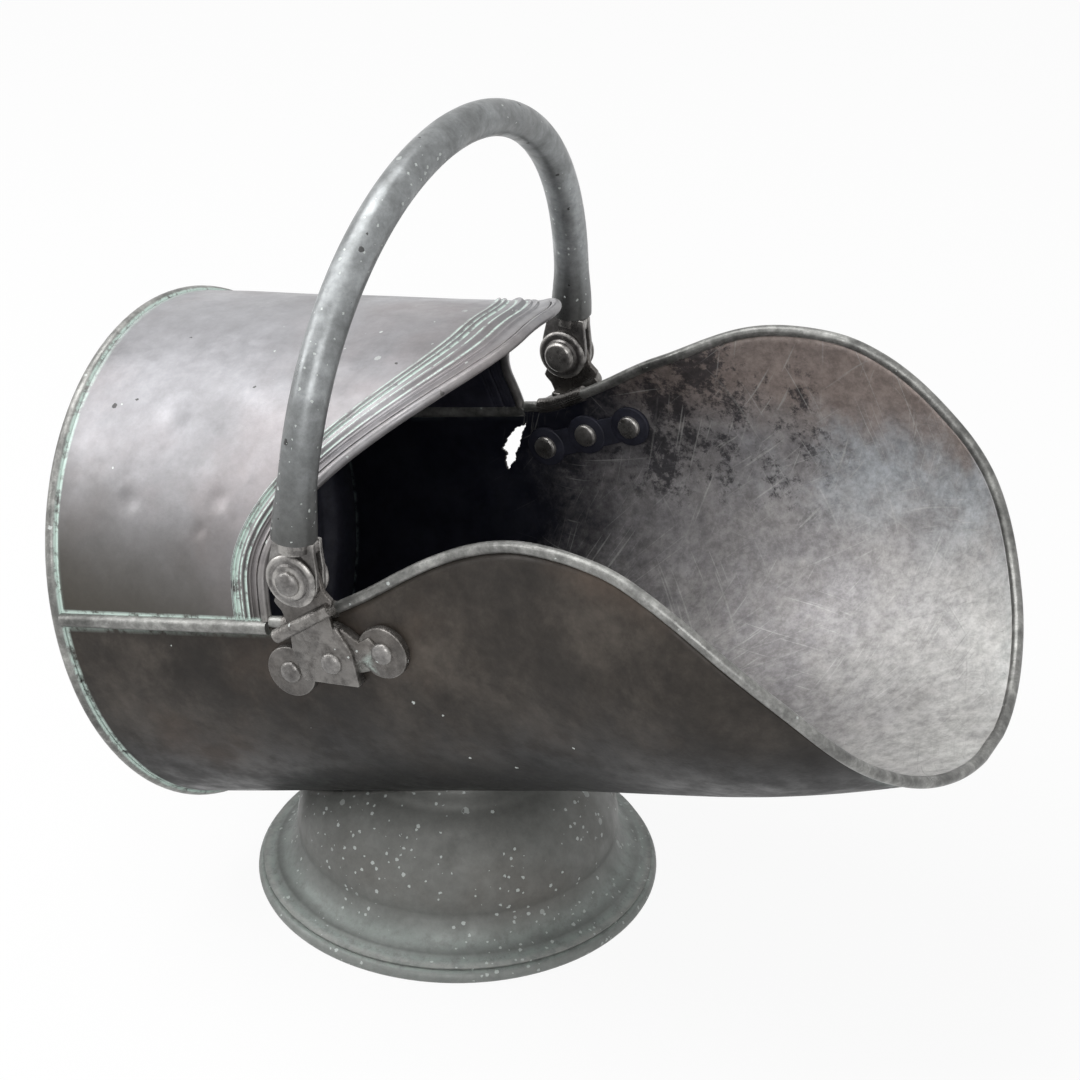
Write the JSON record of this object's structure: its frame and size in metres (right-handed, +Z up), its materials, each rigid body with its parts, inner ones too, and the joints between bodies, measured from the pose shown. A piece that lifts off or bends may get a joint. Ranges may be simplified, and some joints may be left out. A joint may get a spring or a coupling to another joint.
{
  "type": "coal scuttle",
  "caption": "Helmet-shaped coal scuttle: a half-hooded sheet-metal tub with a flared pouring lip, on a spun round foot, with a swinging arched handle.",
  "frame": {"origin": "on the floor, under the middle of the whole outline with the handle upright", "axes": "+X towards the pouring lip, +Y across to the far side bracket, +Z up"},
  "size_m": [0.4928, 0.3126, 0.4415],
  "materials": {
    "patinated_body": "dark brown patina, rubbed and scratched inside",
    "patinated_hood": "lilac-grey patina with a faint copper blush and dents",
    "foot_metal": "grey-green patina with pale specks",
    "beading": "worn grey edges with green verdigris in the corners",
    "handle_metal": "pewter-grey patina, polished by hands",
    "iron": "dark wrought iron, slightly rusted"
  },
  "bodies": {
    "scuttle": {"body_pan": "patinated_body", "back_plate": "patinated_body", "hood": "patinated_hood", "foot_shell": "foot_metal", "foot_base_wire": "foot_metal", "scoop_rim_wire": "beading", "hood_front_wire": "beading", "back_rim_bead": "beading", "seam_bead_near": "beading", "seam_bead_far": "beading", "rosette_outer_near": "handle_metal", "rosette_outer_far": "handle_metal", "rosette_inner_near": "handle_metal", "rosette_inner_far": "handle_metal", "bracket_near": "iron", "bracket_far": "iron", "backing_plate_near": "iron", "backing_plate_far": "iron", "rivet_near_1": "iron", "rivet_near_2": "iron", "rivet_near_3": "iron", "rivet_far_1": "iron", "rivet_far_2": "iron", "rivet_far_3": "iron", "pivot_pin_near": "iron", "pivot_pin_far": "iron"},
    "handle": {"handle_tube": "handle_metal", "handle_fork_near": "iron", "handle_fork_far": "iron"}
  },
  "joints": [
    {"name": "handle_swing", "type": "hinge", "parent": "scuttle", "child": "handle", "pos_m": [-0.06315, 0, 0.25447], "axis": [0, 1, 0], "range_deg": [-72, 58]}
  ]
}
